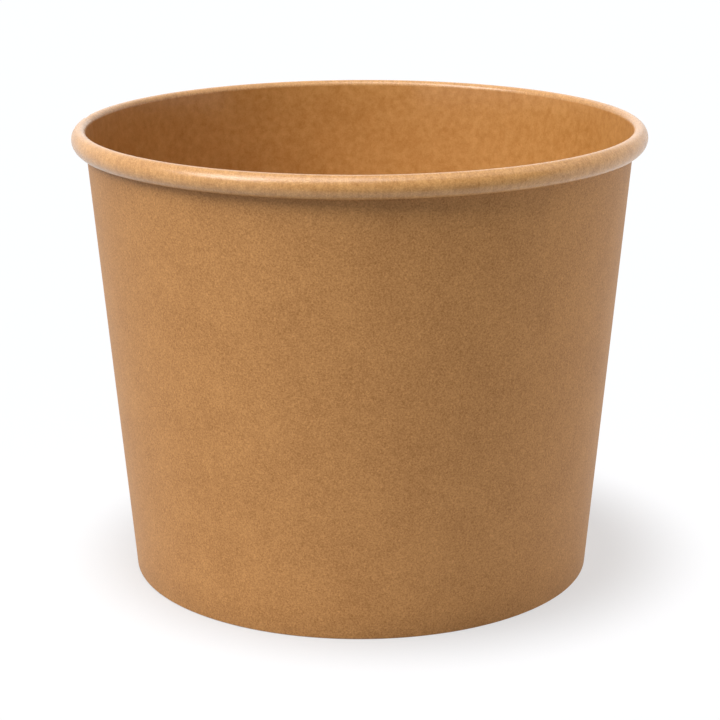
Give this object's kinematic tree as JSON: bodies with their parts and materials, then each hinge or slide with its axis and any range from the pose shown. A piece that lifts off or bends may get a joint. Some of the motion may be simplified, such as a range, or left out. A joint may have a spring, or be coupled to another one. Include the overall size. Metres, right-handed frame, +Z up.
{
  "type": "chicken bucket",
  "caption": "Open round paperboard food bucket with a tapered side wall, a rolled rim, a lapped side seam and a recessed base sealed into a folded foot.",
  "frame": {"origin": "on the floor, at the centre of the foot", "axes": "+Z up along the bucket's axis, -Y towards the picture's viewer, +X to the viewer's right"},
  "size_m": [0.18, 0.18, 0.1438],
  "materials": {
    "wall_board": "unbleached brown paperboard, calendered, faintly glossy",
    "base_board": "unbleached brown paperboard, calendered, faintly glossy"
  },
  "bodies": {
    "root": {"side_wall": "wall_board", "base": "base_board"}
  },
  "joints": []
}
